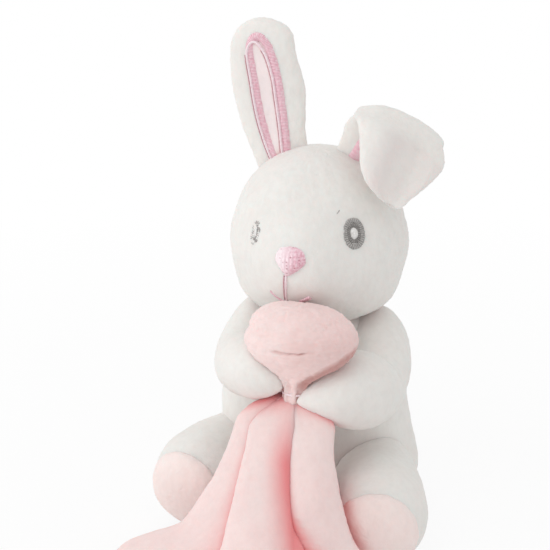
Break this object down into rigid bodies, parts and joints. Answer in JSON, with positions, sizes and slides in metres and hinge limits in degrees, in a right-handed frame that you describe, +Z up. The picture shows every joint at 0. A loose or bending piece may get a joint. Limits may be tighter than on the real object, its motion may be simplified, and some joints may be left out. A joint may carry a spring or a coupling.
{
  "type": "comfort blanket lovey",
  "caption": "Seated white plush rabbit with one folded ear, holding the gathered middle of a small pink plush blanket.",
  "frame": {"origin": "middle of the flat seat, on the ground", "axes": "+Z up through the neck, -Y the way the rabbit faces, +X the rabbit's left side"},
  "size_m": [0.1213, 0.1946, 0.211],
  "materials": {
    "plush_white": "short cut pile",
    "plush_pink": "short cut pile",
    "plush_pale_pink": "short cut pile",
    "satin_pink": "satin stitch",
    "thread_grey": "satin stitch",
    "thread_light_grey": "satin stitch",
    "thread_white": "satin stitch",
    "fibre_white": "loose fibre"
  },
  "bodies": {
    "torso": {"body_cover": "plush_white", "body_filling": "fibre_white", "arm_left_cover": "plush_white", "arm_left_filling": "fibre_white", "arm_right_cover": "plush_white", "arm_right_filling": "fibre_white", "tail": "plush_white", "blanket_tuft": "plush_pink", "gathering_thread": "satin_pink", "blanket_top_layer": "plush_pink", "blanket_lining": "plush_pink"},
    "head": {"head_cover": "plush_white", "head_filling": "fibre_white", "eye_left_outer_ring": "thread_light_grey", "eye_left_inner_ring": "thread_grey", "eye_left_highlight": "thread_white", "eye_right_outer_ring": "thread_light_grey", "eye_right_inner_ring": "thread_grey", "eye_right_highlight": "thread_white", "nose": "satin_pink", "mouth_line": "satin_pink", "mouth_left_arc": "satin_pink", "mouth_right_arc": "satin_pink", "brow_stitch": "thread_grey"},
    "ear_upright": {"ear_upright_cover": "plush_white", "ear_upright_filling": "fibre_white", "ear_upright_lining": "plush_pale_pink", "ear_upright_border": "satin_pink"},
    "ear_folded": {"ear_folded_cover": "plush_white", "ear_folded_filling": "fibre_white", "ear_folded_lining": "plush_pale_pink", "ear_folded_border_inner": "satin_pink", "ear_folded_border_outer": "satin_pink"},
    "ear_flap": {"ear_flap_cover": "plush_white", "ear_flap_filling": "fibre_white"},
    "leg_left": {"leg_left_cover": "plush_white", "leg_left_filling": "fibre_white", "leg_left_sole": "plush_pale_pink"},
    "leg_right": {"leg_right_cover": "plush_white", "leg_right_filling": "fibre_white", "leg_right_sole": "plush_pale_pink"}
  },
  "joints": [
    {"name": "neck_turn", "type": "hinge", "parent": "torso", "child": "head", "pos_m": [0, -0.003, 0.091], "axis": [0, 0, 1], "range_deg": [-20, 20], "stiffness_Nm_per_rad": 0.05},
    {"name": "ear_upright_bend", "type": "hinge", "parent": "head", "child": "ear_upright", "pos_m": [-0.01647, 0.00107, 0.15831], "axis": [0.9703, 0, 0.2419], "range_deg": [-35, 35], "stiffness_Nm_per_rad": 0.02},
    {"name": "ear_folded_bend", "type": "hinge", "parent": "head", "child": "ear_folded", "pos_m": [0.02019, -0.003, 0.1566], "axis": [0.8572, 0, -0.515], "range_deg": [-25, 5], "stiffness_Nm_per_rad": 0.02},
    {"name": "ear_flap_unfold", "type": "hinge", "parent": "ear_folded", "child": "ear_flap", "pos_m": [0.03785, -0.00854, 0.17539], "axis": [-0.8988, 0, 0.4384], "range_deg": [0, 110], "stiffness_Nm_per_rad": 0.01},
    {"name": "hip_left", "type": "hinge", "parent": "torso", "child": "leg_left", "pos_m": [0.031, -0.022, 0.023], "axis": [0, 0, 1], "range_deg": [0, 20], "stiffness_Nm_per_rad": 0.05},
    {"name": "hip_right", "type": "hinge", "parent": "torso", "child": "leg_right", "pos_m": [-0.033, -0.008, 0.023], "axis": [0, 0, -1], "range_deg": [0, 20], "stiffness_Nm_per_rad": 0.05}
  ]
}
